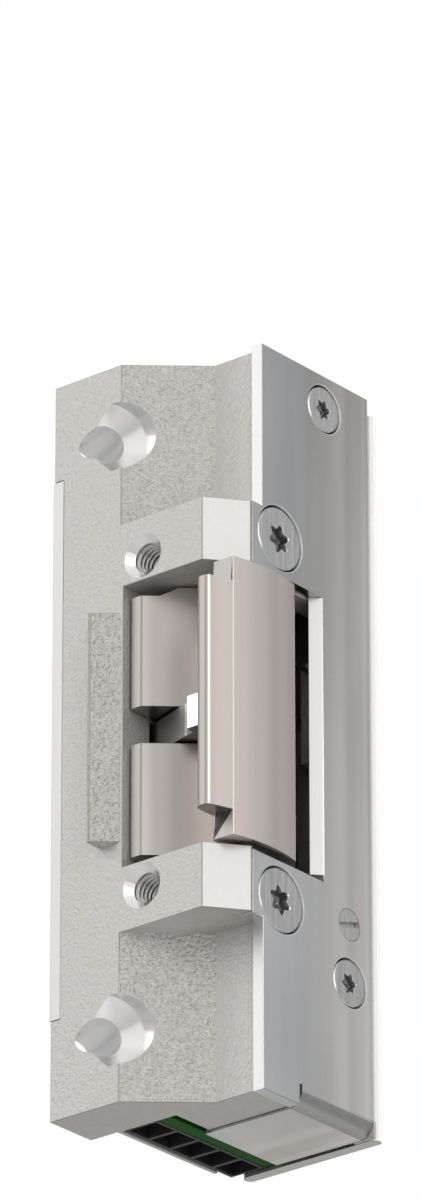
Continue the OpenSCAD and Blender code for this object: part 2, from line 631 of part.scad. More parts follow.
module latch_switch() color("#26282b") from_left() difference() {
    y = [shaft_y + 4, shaft_y + 16.8];
    union() {
        box([bay_x0 + 0.5, board_x - 0.02], y, [switch_z - 3.2, switch_z + 3.2]);
        for (p = [2, 6.4, 10.8]) box([board_x - 1, board_x], [y[0] + p - 0.3, y[0] + p + 0.3],
            [switch_z - 4, switch_z - 3]);
    }
    rod_y(shaft_x + 1.8, switch_z, 0.65, [0, y[0] + 2.4]);
}

module latch_switch_plunger() color("orangered") from_left()
    rod_y(shaft_x + 1.8, switch_z, 0.6, [shaft_y + 2.95, shaft_y + 5.7]);

module lock_switch() color("#26282b") from_left() difference() {
    y = [room_front + 0.4, lever_front - 1.4];
    box([board_x + board_t + 0.02, lever_tail_x + 3.1], y, [lock_switch_z - 4.6, lock_switch_z + 1.4]);
    rod_y(lever_tail_x + 2, lock_switch_z, 0.75, [y[1] - 3, far]);
}

module lock_switch_plunger() color("orangered") from_left()
    rod_y(lever_tail_x + 2, lock_switch_z, 0.7, [lever_front - 4, lever_front - 0.1]);

module circuit_board() color("#145a14") from_left()
    box([board_x, board_x + board_t], [bay_y0 + 0.1, body_d - 0.2], [-half_h + 0.15, -room_half - 1.2]);

module suppressor_diode() color("#1c1c1c") from_left() {
    y = [16, 21];
    rod_y(bay_x1 + 1.2, -half_h + 6, 1.1, y);
    for (e = [y[0] - 1, y[1]]) box([bay_x1 - 0.1, bay_x1 + 1.5], [e, e + 1], [-half_h + 5.8, -half_h + 6.2]);
}

module terminal_places() for (i = [0 : terminal_count - 1])
    translate([0, terminal_y0 + 0.05 + (i + 0.5) * terminal_pitch, 0]) children();

module terminal_block() color("#202022") from_left() difference() {
    box([terminal_x0, terminal_x1], [terminal_y0, terminal_y1], [-half_h + 0.1, terminal_top]);
    terminal_places() {
        half = terminal_pitch / 2 - 0.3;
        box([terminal_x0 + 0.5, terminal_x1 - 0.5], [-half, half], [-far, -half_h + 6.6]);
        rod_x(0, -half_h + 4.6, 1.45, [0, terminal_x0 + 1]);
    }
}

module terminal_clamps() color("silver") from_left() terminal_places() difference() {
    half = terminal_pitch / 2 - 0.4;
    box([terminal_x0 + 1.6, terminal_x1 - 0.6], [-half, half], [-half_h + 2.6, -half_h + 6.5]);
    box([terminal_x0 + 2.2, terminal_x1 - 1.1], [-half + 0.4, half - 0.4], [-far, -half_h + 5.9]);
}

module terminal_screws() color("gainsboro") from_left() terminal_places() difference() {
    rod_x(0, -half_h + 4.6, 1.3, [terminal_x0 + 0.2, terminal_x0 + 1.55]);
    box([0, terminal_x0 + 0.7], [-2, 2], [-half_h + 4.35, -half_h + 4.85]);
}

module large_plate_screws() color("silver") from_left() large_screw_places()
    countersunk(large_head_r, large_r - seat_gap, 8.6, 1.95);

module small_plate_screws() color("silver") from_left() small_screw_places()
    countersunk(small_head_r, small_r - seat_gap, 7.4, 1.4);

module back_plate_screws() color("silver") from_left() back_screw_places()
    countersunk(tiny_r + 1, tiny_r - seat_gap, 7, 0.9);

module left_plate_screws() color("silver") from_left() left_screw_places()
    countersunk(tiny_r + 1, tiny_r - seat_gap, 4.4, 0.9);

// Slotted screw that sets the lock's mode, with an eccentric tip
module changeover_screw() color("silver") from_left() {
    difference() {
        rod_x(changeover_y, changeover_z, changeover_r, [plate_in - 3.2, body_w]);
        translate([body_w - 0.7, changeover_y, changeover_z]) rotate([16, 0, 0])
            translate([0, -changeover_r - 1, -0.35]) cube([2, 2 * changeover_r + 2, 0.7]);
    }
    rod_x(changeover_y + 0.9, changeover_z, 0.8, [plate_in - 5, plate_in - 3.2]);
}

housing();
side_plate();
left_plate();
back_plate();
keeper();
keeper_pin();
keeper_bushes();
keeper_spring();
lock_lever();
lock_lever_pin();
lock_lever_spring();
armature();
armature_pin();
armature_spring();
yoke();
solenoid_core();
coil_bobbin();
coil_winding();
coil_leads();
latch_feeler();
feeler_shaft();
feeler_spring();
latch_switch();
latch_switch_plunger();
lock_switch();
lock_switch_plunger();
circuit_board();
suppressor_diode();
terminal_block();
terminal_clamps();
terminal_screws();
large_plate_screws();
small_plate_screws();
back_plate_screws();
left_plate_screws();
changeover_screw();
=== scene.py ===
"""Looks of an electric door strike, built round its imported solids. Lengths are in metres."""
import math

import bmesh
import bpy
from mathutils import Matrix, Vector


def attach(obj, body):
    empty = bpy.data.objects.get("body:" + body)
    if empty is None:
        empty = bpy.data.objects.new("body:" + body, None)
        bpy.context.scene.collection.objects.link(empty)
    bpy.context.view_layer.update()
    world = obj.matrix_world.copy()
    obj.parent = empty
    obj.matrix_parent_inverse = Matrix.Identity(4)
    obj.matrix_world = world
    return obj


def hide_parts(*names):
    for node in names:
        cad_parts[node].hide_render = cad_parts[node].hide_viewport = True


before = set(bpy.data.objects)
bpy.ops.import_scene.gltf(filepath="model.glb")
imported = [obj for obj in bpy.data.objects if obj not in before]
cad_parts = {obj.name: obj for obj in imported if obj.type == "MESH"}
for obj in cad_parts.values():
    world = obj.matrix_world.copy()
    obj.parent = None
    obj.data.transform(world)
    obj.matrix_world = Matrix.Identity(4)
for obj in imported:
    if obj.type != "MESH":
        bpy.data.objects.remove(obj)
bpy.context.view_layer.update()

# ---------------------------------------------------------------------------------------
# The view: a long lens, low and to the right, looking up at the strike so that its front,
# its side plate and its underside all show. The picture stands upright.
MM = 0.001
turn, tilt = math.radians(39.52), math.radians(24.58)
aim = Vector((-math.sin(turn) * math.cos(tilt), math.cos(turn) * math.cos(tilt), math.sin(tilt)))
across = Vector((math.cos(turn), math.sin(turn), 0))
upright = across.cross(aim)
DISTANCE, SHIFT_RIGHT, SHIFT_UP = 1123.7, 0.27, 19.25  # millimetres, as is the point looked at
looked_at = Vector((-0.75, 12.20, 0))
eye = looked_at - DISTANCE * aim + SHIFT_RIGHT * across + SHIFT_UP * upright
camera_data = bpy.data.cameras.new("camera")
camera_data.lens = 271.5
camera_data.sensor_width = 36
camera_data.clip_start = 0.05
camera_data.clip_end = 20
camera = bpy.data.objects.new("camera", camera_data)
camera.matrix_world = Matrix.Translation(eye * MM) @ Matrix((across, upright, -aim)).transposed().to_4x4()
bpy.context.scene.collection.objects.link(camera)
bpy.context.scene.camera = camera

# ---------------------------------------------------------------------------------------
# The light: a white room that is brightest in front and to the right, over a pale floor. A large
# soft light stands at the upper left and a tall soft strip at the right. A third one behind fills
# the shadows, and metal doesn't mirror it.
bpy.context.scene.view_settings.view_transform = "Standard"
world = bpy.data.worlds.new("studio")
bpy.context.scene.world = world
world.use_nodes = True
sky = world.node_tree
sky.nodes.clear()
place = sky.nodes.new("ShaderNodeTexCoord")
lean = sky.nodes.new("ShaderNodeVectorMath")
lean.operation = "DOT_PRODUCT"
lean.inputs[1].default_value = (0.52, -0.74, 0.42)
fall = sky.nodes.new("ShaderNodeMapRange")
fall.inputs["From Min"].default_value = -1
ramp = sky.nodes.new("ShaderNodeValToRGB")
ramp.color_ramp.elements[0].position = 0.0
ramp.color_ramp.elements[0].color = (0.30, 0.30, 0.305, 1)
ramp.color_ramp.elements[1].position = 1.0
ramp.color_ramp.elements[1].color = (0.95, 0.94, 0.92, 1)
for spot, shade in ((0.33, (0.48, 0.48, 0.485, 1)), (0.48, (0.58, 0.58, 0.58, 1)),
                    (0.72, (0.78, 0.77, 0.76, 1))):
    ramp.color_ramp.elements.new(spot).color = shade
room = sky.nodes.new("ShaderNodeBackground")
room.inputs["Strength"].default_value = 0.9
paper = sky.nodes.new("ShaderNodeBackground")
paper.inputs["Color"].default_value = (1, 1, 1, 1)
paper.inputs["Strength"].default_value = 1.0
ray = sky.nodes.new("ShaderNodeLightPath")
choose = sky.nodes.new("ShaderNodeMixShader")
out = sky.nodes.new("ShaderNodeOutputWorld")
sky.links.new(place.outputs["Generated"], lean.inputs[0])
sky.links.new(lean.outputs["Value"], fall.inputs["Value"])
sky.links.new(fall.outputs["Result"], ramp.inputs["Fac"])
sky.links.new(ramp.outputs["Color"], room.inputs["Color"])
sky.links.new(ray.outputs["Is Camera Ray"], choose.inputs["Fac"])
sky.links.new(room.outputs["Background"], choose.inputs[1])
sky.links.new(paper.outputs["Background"], choose.inputs[2])
sky.links.new(choose.outputs["Shader"], out.inputs["Surface"])


def soft_light(name, spot, target, size, power, tint, mirrored=True):
    data = bpy.data.lights.new(name, "AREA")
    data.shape = "RECTANGLE"
    data.size, data.size_y = size
    data.energy = power
    data.color = tint
    lamp = bpy.data.objects.new(name, data)
    lamp.location = spot
    lamp.rotation_euler = (Vector(target) - Vector(spot)).to_track_quat("-Z", "Y").to_euler()
    lamp.visible_glossy = mirrored
    bpy.context.scene.collection.objects.link(lamp)


soft_light("upper_left_softbox", (-0.75, -0.85, 0.55), (0, 0, 0), (0.85, 0.85), 3.4, (1, 0.99, 0.97))
soft_light("right_strip", (0.85, -0.42, 0.20), (0, 0, 0), (0.22, 0.9), 1.9, (1, 0.995, 0.98))
soft_light("rear_fill", (0.55, 0.75, 0.1), (0, 0, 0), (0.5, 0.8), 5.0, (1, 1, 1), mirrored=False)

floor_mesh = bpy.data.meshes.new("floor")
bm = bmesh.new()
bmesh.ops.create_grid(bm, x_segments=1, y_segments=1, size=3)
bmesh.ops.translate(bm, verts=bm.verts, vec=(0, 0, -0.62))
bm.to_mesh(floor_mesh)
bm.free()
floor = bpy.data.objects.new("floor", floor_mesh)
bpy.context.scene.collection.objects.link(floor)
floor_paint = bpy.data.materials.new("floor_paint")
floor_paint.use_nodes = True
floor_shader = floor_paint.node_tree.nodes["Principled BSDF"]
floor_shader.inputs["Base Color"].default_value = (0.66, 0.66, 0.65, 1)
floor_shader.inputs["Roughness"].default_value = 0.8
floor_mesh.materials.append(floor_paint)

# ---------------------------------------------------------------------------------------
# The housing is a zinc casting with a fine grain, a coarser wrinkle on the slanted end faces
# and on the strike rib, and bright machined surfaces in its oblique fixing bores and tapped
# holes. Its outer edges are slightly rounded, with painted shade in dark grey on the roundings.
INSET = 14.45  # the faceplate holes' distance from the left side, in millimetres
THREAD_Y = 1.5  # the depth at which their thread starts, which is where Y is 0


def at(x, y, z):
    """A point given in millimetres from the left side, the front face and mid-height."""
    return Vector(((x - INSET) * MM, (y - THREAD_Y) * MM, z * MM))


def finish_material(name, color, metallic, rough, grains=(), tint=0.04, tint_scale=90.0,
                    stretch=(1, 1, 1), rough_swing=0.06):
    """A surface with colour and roughness that drift a little, and bump from layers of grain.
    Each grain is (features per metre, height in metres, detail)."""
    skin = bpy.data.materials.new(name)
    skin.use_nodes = True
    tree = skin.node_tree
    shader = tree.nodes["Principled BSDF"]
    shader.inputs["Metallic"].default_value = metallic
    coords = tree.nodes.new("ShaderNodeTexCoord")
    spread = tree.nodes.new("ShaderNodeMapping")
    spread.inputs["Scale"].default_value = stretch
    tree.links.new(coords.outputs["Object"], spread.inputs["Vector"])
    drift = tree.nodes.new("ShaderNodeTexNoise")
    drift.inputs["Scale"].default_value = tint_scale
    drift.inputs["Detail"].default_value = 5
    tree.links.new(spread.outputs["Vector"], drift.inputs["Vector"])
    shades = tree.nodes.new("ShaderNodeValToRGB")
    shades.color_ramp.elements[0].position = 0.3
    shades.color_ramp.elements[1].position = 0.7
    shades.color_ramp.elements[0].color = tuple(c * (1 - tint) for c in color) + (1,)
    shades.color_ramp.elements[1].color = tuple(min(1, c * (1 + tint)) for c in color) + (1,)
    tree.links.new(drift.outputs["Fac"], shades.inputs["Fac"])
    tree.links.new(shades.outputs["Color"], shader.inputs["Base Color"])
    gloss = tree.nodes.new("ShaderNodeMapRange")
    gloss.inputs["To Min"].default_value = rough - rough_swing
    gloss.inputs["To Max"].default_value = rough + rough_swing
    tree.links.new(drift.outputs["Fac"], gloss.inputs["Value"])
    tree.links.new(gloss.outputs["Result"], shader.inputs["Roughness"])
    below = None
    for scale, height, detail in grains:
        grain = tree.nodes.new("ShaderNodeTexNoise")
        grain.inputs["Scale"].default_value = scale
        grain.inputs["Detail"].default_value = detail
        tree.links.new(spread.outputs["Vector"], grain.inputs["Vector"])
        bump = tree.nodes.new("ShaderNodeBump")
        bump.inputs["Strength"].default_value = 1.0
        bump.inputs["Distance"].default_value = height
        tree.links.new(grain.outputs["Fac"], bump.inputs["Height"])
        if below:
            tree.links.new(below.outputs["Normal"], bump.inputs["Normal"])
        below = bump
    if below:
        tree.links.new(below.outputs["Normal"], shader.inputs["Normal"])
    return skin


def as_piece(name, bm, body, skins, replaced=(), smooth_angle=32, faceted=()):
    """A finished piece from a mesh under construction, riding on a body. Faces whose skin is
    in faceted keep their own flat shading, for walls turned from many narrow facets."""
    mesh = bpy.data.meshes.new(name)
    bm.to_mesh(mesh)
    bm.free()
    for skin in skins:
        mesh.materials.append(skin)
    mesh.set_sharp_from_angle(angle=math.radians(smooth_angle))
    mesh.polygons.foreach_set("use_smooth",
                              [face.material_index not in faceted for face in mesh.polygons])
    piece = bpy.data.objects.new(name, mesh)
    bpy.context.scene.collection.objects.link(piece)
    even = piece.modifiers.new("even_normals", "WEIGHTED_NORMAL")
    even.keep_sharp = True
    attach(piece, body)
    if replaced:
        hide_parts(*replaced)
    return piece


MERGE, FLAT = 0.002 * MM, math.radians(0.3)


def make_whole(bm):
    """Merges points that coincide, and triangles that lie in one flat face."""
    bmesh.ops.remove_doubles(bm, verts=bm.verts, dist=MERGE)
    bmesh.ops.dissolve_limit(bm, angle_limit=FLAT, use_dissolve_boundaries=False,
                             verts=bm.verts, edges=bm.edges, delimit={"NORMAL"})


def solid_copy(node):
    """A merged copy of a solid's triangles with its flat faces whole again."""
    bm = bmesh.new()
    bm.from_mesh(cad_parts[node].data)
    make_whole(bm)
    return bm


def round_edges(bm, width, least_length, least_angle=30, wanted=None, segments=2):
    """Rounds the long sharp outer edges and gives the narrow faces that it makes."""
    sharp = [e for e in bm.edges if e.is_manifold and e.calc_length() > least_length
             and e.calc_face_angle_signed(0) > math.radians(least_angle)
             and (wanted is None or wanted(e))]
    return bmesh.ops.bevel(bm, geom=sharp, offset=width, offset_type="OFFSET", segments=segments,
                           profile=0.5, affect="EDGES", clamp_overlap=False, material=-1)["faces"]


def from_axis(point, origin, direction):
    """Distance of a point from an axis."""
    arm = point - origin
    return (arm - arm.dot(direction) * direction).length


fix_lean = math.radians(27)
bore_axis = Vector((math.cos(fix_lean), -math.sin(fix_lean), 0))
FIX_X, FIX_Y, FIX_Z = 9.3, 0.1, 40  # the upper bore's head recess, in millimetres
HEAD_R, BORE_R, REACH = 4.67 * MM, 2.52 * MM, 24 * MM
BORE_STEPS = 144


def bore_cutter(ring):
    """The turned shape of a fixing bore: screw hole, 45 degree seat and head recess."""
    cutter = bmesh.new()
    profile = [(0, -REACH), (BORE_R, -REACH), (BORE_R, BORE_R - HEAD_R), (HEAD_R, 0),
               (HEAD_R, REACH), (0, REACH)]
    verts = [cutter.verts.new((r, 0, along)) for r, along in profile]
    edges = [cutter.edges.new(pair) for pair in zip(verts, verts[1:])]
    bmesh.ops.spin(cutter, geom=verts + edges, cent=(0, 0, 0), axis=(0, 0, 1), angle=2 * math.pi,
                   steps=BORE_STEPS, use_merge=True, use_duplicate=False)
    bmesh.ops.remove_doubles(cutter, verts=cutter.verts, dist=1e-7)
    bmesh.ops.recalc_face_normals(cutter, faces=cutter.faces)
    lean_over = Vector((0, 0, 1)).rotation_difference(bore_axis).to_matrix().to_4x4()
    cutter.transform(Matrix.Translation(ring) @ lean_over)
    return cutter


def cut_away(bm, cutters):
    """The mesh under construction with the shapes of the cutters taken out of it."""
    body_mesh, tool_mesh = bpy.data.meshes.new("uncut"), bpy.data.meshes.new("cutter")
    bm.to_mesh(body_mesh)
    bm.free()
    whole = join(cutters)
    whole.to_mesh(tool_mesh)
    whole.free()
    body, tool = bpy.data.objects.new("uncut", body_mesh), bpy.data.objects.new("cutter", tool_mesh)
    for held in (body, tool):
        bpy.context.scene.collection.objects.link(held)
    cut = body.modifiers.new("cut", "BOOLEAN")
    cut.operation = "DIFFERENCE"
    cut.solver = "EXACT"
    cut.object = tool
    result = bmesh.new()
    result.from_object(body, bpy.context.evaluated_depsgraph_get())
    for held in (body, tool):
        bpy.data.objects.remove(held)
    for mesh in (body_mesh, tool_mesh):
        bpy.data.meshes.remove(mesh)
    return result


def join(meshes):
    """One mesh under construction from several."""
    whole = bmesh.new()
    for part in meshes:
        held = bpy.data.meshes.new("held")
        part.to_mesh(held)
        part.free()
        whole.from_mesh(held)
        bpy.data.meshes.remove(held)
    return whole


rings = [at(FIX_X, FIX_Y, FIX_Z), at(FIX_X, FIX_Y, -FIX_Z)]
bm = cut_away(solid_copy("housing"), [bore_cutter(ring) for ring in rings])
make_whole(bm)
HOLE_Z = 22.2  # the faceplate holes' height above the middle, in millimetres
mouths = [at(INSET, 0, HOLE_Z), at(INSET, 0, -HOLE_Z)]
TAP_R, TAP_OPEN = 1.65 * MM, 1.98 * MM  # the tapped hole in the solid, and at its thread's root
TAP_START, SEAT_END, TAP_END = 1.0 * MM, 1.6 * MM, 11.2 * MM  # depths along that hole
slant = Vector((7.7, -8.9, 0)).normalized()  # square to the slanted faces at both ends
chamfer = Vector((4.75, -3.9, 0)).normalized()  # square to the milled chamfers of the lugs


def in_a_bore(face):
    """Whether a face is a wall of a fixing bore, a tapped hole or its countersink."""
    c, n = face.calc_center_median(), face.normal
    if n.y < -0.999 or abs(n.dot(slant)) > 0.998 or abs(n.x) > 0.999:
        return False
    if any(from_axis(c, ring, bore_axis) < HEAD_R + 0.03 * MM for ring in rings) and c.y < 6.5 * MM:
        return True
    return any(math.hypot(c.x - m.x, c.z - m.z) < 3 * MM for m in mouths) and c.y < 9.7 * MM


# The tapped holes open up to the root of their thread, which is a piece of its own.
for mouth in mouths:
    for vertex in bm.verts:
        arm = vertex.co - mouth
        reach = math.hypot(arm.x, arm.z)
        if reach < TAP_R + 0.03 * MM and TAP_START < arm.y < TAP_END:
            if reach > TAP_R - 0.05 * MM:
                grow = TAP_OPEN / reach
                vertex.co.x = mouth.x + arm.x * grow
                vertex.co.z = mouth.z + arm.z * grow
            if arm.y < SEAT_END:
                vertex.co.y -= TAP_OPEN - TAP_R
# The roundings made here are painted dark grey below, as painted shade along the edges.
shaded_edges = set(round_edges(bm, 0.09 * MM, 1.2 * MM, least_angle=20,
                        wanted=lambda e: not any(in_a_bore(f) for f in e.link_faces)))
front_y = at(0, 0, 0).y
END_Z = 27.4 * MM  # the slanted faces beyond this height are the wrinkled ones
CAST, WRINKLED, BORE, MILLED, SHADED_EDGE = range(5)
for face in bm.faces:
    c, n = face.calc_center_median(), face.normal
    if in_a_bore(face):
        face.material_index = BORE
    elif face in shaded_edges and face.calc_area() > 1e-10:
        face.material_index = SHADED_EDGE
    elif (n.dot(slant) > 0.995 and abs(c.z) > END_Z) or c.y < front_y - 0.02 * MM:
        face.material_index = WRINKLED
    elif n.dot(chamfer) > 0.998:
        face.material_index = MILLED
fine_cast = finish_material("fine_cast_zinc", (0.545, 0.540, 0.522), 0.45, 0.46,
                            ((2500, 0.00016, 2),), tint=0.035, tint_scale=1600)
coarse_cast = finish_material("wrinkled_cast_zinc", (0.62, 0.61, 0.588), 0.45, 0.46,
                              ((2100, 0.00060, 1.5),), tint=0.04, tint_scale=1900)
machined = finish_material("machined_zinc", (0.96, 0.96, 0.96), 1.0, 0.26,
                           ((5200, 0.0000015, 2),), tint=0.03)
milled = finish_material("milled_chamfer", (0.66, 0.655, 0.64), 0.40, 0.42,
                         ((2600, 0.000018, 2),), tint=0.04, tint_scale=900)
# Painted shade: a dark grey for the roundings of the outer edges.
painted_edge_shade = finish_material("painted_edge_shade", (0.36, 0.355, 0.34), 0.45, 0.5,
                             ((2600, 0.00001, 2),), tint=0.06)
as_piece("cast_housing", bm, "base",
         (fine_cast, coarse_cast, machined, milled, painted_edge_shade), ("housing",), faceted=(BORE,))

# ---------------------------------------------------------------------------------------
# The thread in each faceplate hole is cut into the casting in bare metal, painted darker than the
# bores as painted shade inside the hole: one ridge that winds down the hole at a pitch of 0.7 mm.
PITCH, TURNS, STEPS = 0.7 * MM, 9, 40  # steps are for one turn
ROOT_HALF, CREST_HALF = 0.30 * MM, 0.05 * MM  # half the ridge's width at its root and its crest
RIDGE_START = 1.25  # depth behind the front face, in millimetres
shaded_thread_metal = finish_material("shaded_thread_metal", (0.52, 0.52, 0.52), 1.0, 0.24,
                               ((5200, 0.0000015, 2),), tint=0.04)
for label, side in (("upper", 1), ("lower", -1)):
    bm = bmesh.new()
    root = [bm.verts.new((TAP_OPEN + 0.03 * MM, dy, 0)) for dy in (-ROOT_HALF, ROOT_HALF)]
    crest = [bm.verts.new((TAP_R, dy, 0)) for dy in (CREST_HALF, -CREST_HALF)]
    rib = bm.faces.new(root + crest)
    bmesh.ops.spin(bm, geom=[rib] + list(rib.edges) + list(rib.verts), cent=(0, 0, 0),
                   axis=(0, 1, 0), dvec=(0, PITCH / STEPS, 0), angle=2 * math.pi * TURNS,
                   steps=STEPS * TURNS, use_duplicate=False)
    bmesh.ops.translate(bm, verts=bm.verts, vec=at(INSET, RIDGE_START, side * HOLE_Z))
    bmesh.ops.remove_doubles(bm, verts=bm.verts, dist=1e-7)
    bmesh.ops.recalc_face_normals(bm, faces=bm.faces)
    as_piece(label + "_faceplate_thread", bm, "base", (shaded_thread_metal,),
             smooth_angle=20)

# ---------------------------------------------------------------------------------------
# The side plate is stainless sheet, blanked and bent: its bottom flange and the lip of the
# keeper opening are folded from it. Its sheared edges are duller than its face, and the rims
# of its countersinks are bright.
BRUSHED = (1, 1, 0.04)  # grain drawn out along the height
BAND_AHEAD, BAND_SPAN = 0.003, 0.033  # start before the front face, and whole length, in metres


def sheet_metal(name, color, rough, painted_light_bands=(), bump=0.000004):
    """Brushed sheet. Painted light bands are (depth behind the front face in metres, colour)."""
    skin = finish_material(name, color, 1.0, rough, ((2600, bump, 3),), tint=0.03, tint_scale=500,
                           stretch=BRUSHED, rough_swing=0.04)
    # The bands multiply the colour: painted reflections and painted shade that change with depth.
    if painted_light_bands:
        tree = skin.node_tree
        shader = tree.nodes["Principled BSDF"]
        coords = tree.nodes.new("ShaderNodeTexCoord")
        split = tree.nodes.new("ShaderNodeSeparateXYZ")
        span = tree.nodes.new("ShaderNodeMapRange")
        span.inputs["From Min"].default_value = -THREAD_Y * MM - BAND_AHEAD
        span.inputs["From Max"].default_value = BAND_SPAN - BAND_AHEAD - THREAD_Y * MM
        strip = tree.nodes.new("ShaderNodeValToRGB")
        strip.color_ramp.interpolation = "EASE"
        while len(strip.color_ramp.elements) < len(painted_light_bands):
            strip.color_ramp.elements.new(0.5)
        for element, (spot, shade) in zip(strip.color_ramp.elements, painted_light_bands):
            element.position = (spot + BAND_AHEAD) / BAND_SPAN
            element.color = shade + (1,)
        blend = tree.nodes.new("ShaderNodeMix")
        blend.data_type = "RGBA"
        blend.blend_type = "MULTIPLY"
        blend.inputs["Factor"].default_value = 1.0
        tree.links.new(coords.outputs["Object"], split.inputs["Vector"])
        tree.links.new(split.outputs["Y"], span.inputs["Value"])
        tree.links.new(span.outputs["Result"], strip.inputs["Fac"])
        base = shader.inputs["Base Color"].links[0].from_socket
        tree.links.new(base, blend.inputs["A"])
        tree.links.new(strip.outputs["Color"], blend.inputs["B"])
        tree.links.new(blend.outputs["Result"], shader.inputs["Base Color"])
    return skin


# Painted reflections: the plate's colour rises and falls in bands along its depth.
plate_skin = sheet_metal("brushed_stainless", (0.72, 0.72, 0.715), 0.24, (
    (0.005, (0.90, 0.92, 0.95)), (0.0135, (0.84, 0.86, 0.88)), (0.0195, (0.86, 0.85, 0.84)),
    (0.0225, (0.98, 0.97, 0.95)), (0.0240, (0.86, 0.83, 0.81)), (0.0262, (0.92, 0.88, 0.86)),
    (0.0272, (1.0, 1.0, 1.0)), (0.0281, (0.86, 0.86, 0.87))))
edge_skin = sheet_metal("sheared_edge", (0.64, 0.635, 0.63), 0.46)
# Painted shade: the bend of the bottom flange gets a darker grey.
shaded_bend_skin = sheet_metal("bend_painted_shade", (0.42, 0.42, 0.42), 0.34)
# A cloudy painted reflection leans across the plate's face, and painted light makes
# the face lighter towards its foot.
tree = plate_skin.node_tree
shader = tree.nodes["Principled BSDF"]
painted_sheen_coords = tree.nodes.new("ShaderNodeTexCoord")
painted_sheen_lean = tree.nodes.new("ShaderNodeMapping")
painted_sheen_lean.inputs["Rotation"].default_value = (math.radians(38), 0, 0)
painted_sheen_lean.inputs["Scale"].default_value = (1, 1, 0.28)
painted_sheen = tree.nodes.new("ShaderNodeTexNoise")
painted_sheen.inputs["Scale"].default_value = 75
painted_sheen.inputs["Detail"].default_value = 1.5
painted_sheen_shades = tree.nodes.new("ShaderNodeValToRGB")
painted_sheen_dim, clear = painted_sheen_shades.color_ramp.elements
painted_sheen_dim.position, clear.position = 0.30, 0.72
painted_sheen_dim.color, clear.color = (0.80, 0.80, 0.795, 1), (1.0, 1.0, 1.0, 1)
painted_sheen_mix = tree.nodes.new("ShaderNodeMix")
painted_sheen_mix.data_type = "RGBA"
painted_sheen_mix.blend_type = "MULTIPLY"
painted_sheen_mix.inputs["Factor"].default_value = 1.0
tree.links.new(painted_sheen_coords.outputs["Object"], painted_sheen_lean.inputs["Vector"])
tree.links.new(painted_sheen_lean.outputs["Vector"], painted_sheen.inputs["Vector"])
tree.links.new(painted_sheen.outputs["Fac"], painted_sheen_shades.inputs["Fac"])
tree.links.new(shader.inputs["Base Color"].links[0].from_socket, painted_sheen_mix.inputs["A"])
tree.links.new(painted_sheen_shades.outputs["Color"], painted_sheen_mix.inputs["B"])
heights = tree.nodes.new("ShaderNodeSeparateXYZ")
painted_light_lift = tree.nodes.new("ShaderNodeMapRange")
painted_light_lift.inputs["From Min"].default_value, painted_light_lift.inputs["From Max"].default_value = -0.05, 0.05
painted_light_lift.inputs["To Min"].default_value, painted_light_lift.inputs["To Max"].default_value = 1.38, 1.0
painted_light_lifted = tree.nodes.new("ShaderNodeVectorMath")
painted_light_lifted.operation = "SCALE"
tree.links.new(painted_sheen_coords.outputs["Object"], heights.inputs["Vector"])
tree.links.new(heights.outputs["Z"], painted_light_lift.inputs["Value"])
tree.links.new(painted_sheen_mix.outputs["Result"], painted_light_lifted.inputs[0])
tree.links.new(painted_light_lift.outputs["Result"], painted_light_lifted.inputs["Scale"])
tree.links.new(painted_light_lifted.outputs["Vector"], shader.inputs["Base Color"])
rim_skin = sheet_metal("countersink_rim", (0.88, 0.88, 0.88), 0.22)
LARGE_SPOTS = ((10.5, 24.3), (10.5, -24.3))  # depth and height of the screws, in millimetres
SMALL_SPOTS = ((19.4, 45.4), (23.85, -31.05))
PLATE_X = 27.9  # the plate's outer face, in millimetres from the left side
bm = solid_copy("side_plate")
LIP_TOP, CUT_TOP = 18.6 * MM, 19.2 * MM  # the lip is drawn up to just below the opening's top
for vertex in bm.verts:
    if abs(vertex.co.z - LIP_TOP) < 0.02 * MM:
        vertex.co.z = CUT_TOP - 0.02 * MM
round_edges(bm, 0.08 * MM, 0.9 * MM)


RIM_REACH = 4.6 * MM  # just past the largest countersink


def on_a_rim(edge):
    """Whether an edge lies on the outer rim of a screw's countersink."""
    for vertex in edge.verts:
        away = min(math.hypot(vertex.co.y - at(0, y, 0).y, vertex.co.z - z * MM)
                   for y, z in LARGE_SPOTS + SMALL_SPOTS)
        if away >= RIM_REACH or vertex.co.x <= at(PLATE_X - 0.1, 0, 0).x:
            return False
    return True


rim_faces = set(round_edges(bm, 0.16 * MM, 0.05 * MM, wanted=on_a_rim))
SHEET, SHEARED, SHADED_BEND, RIM = range(4)
for face in bm.faces:
    c, n = face.calc_center_median(), face.normal
    if face in rim_faces:
        face.material_index = RIM
    elif n.y < -0.6 and face.calc_area() > 1e-7:
        face.material_index = SHEARED
    elif n.x > 0.12 and n.z < -0.12 and c.z < -47 * MM:
        face.material_index = SHADED_BEND
as_piece("folded_side_plate", bm, "base",
         (plate_skin, edge_skin, shaded_bend_skin, rim_skin), ("side_plate",))

# ---------------------------------------------------------------------------------------
# The left and back plates are the same sheet. The left one lies in a recess of the casting,
# and the back one has rolled side edges. Its faces that face right are painted near white as a
# painted highlight.
left_skin = sheet_metal("left_plate_steel", (0.51, 0.51, 0.507), 0.44)
bm = solid_copy("left_plate")
round_edges(bm, 0.08 * MM, 0.9 * MM)
as_piece("left_cover", bm, "base", (left_skin,), ("left_plate",))
back_skin = sheet_metal("back_plate_steel", (0.70, 0.70, 0.70), 0.34)
highlight_rolled_skin = finish_material("rolled_edge_painted_highlight", (0.93, 0.93, 0.93), 0.1, 0.35,
                              ((2600, 0.000003, 2),), tint=0.02)
bm = solid_copy("back_plate")
round_edges(bm, 0.06 * MM, 0.9 * MM, least_angle=50)
for face in bm.faces:
    n = face.normal
    # Painted highlight: the faces that face right get a near-white colour.
    face.material_index = 1 if n.x > 0.15 and abs(n.z) < 0.5 and face.calc_area() > 1e-6 else 0
as_piece("back_cover", bm, "base", (back_skin, highlight_rolled_skin), ("back_plate",))
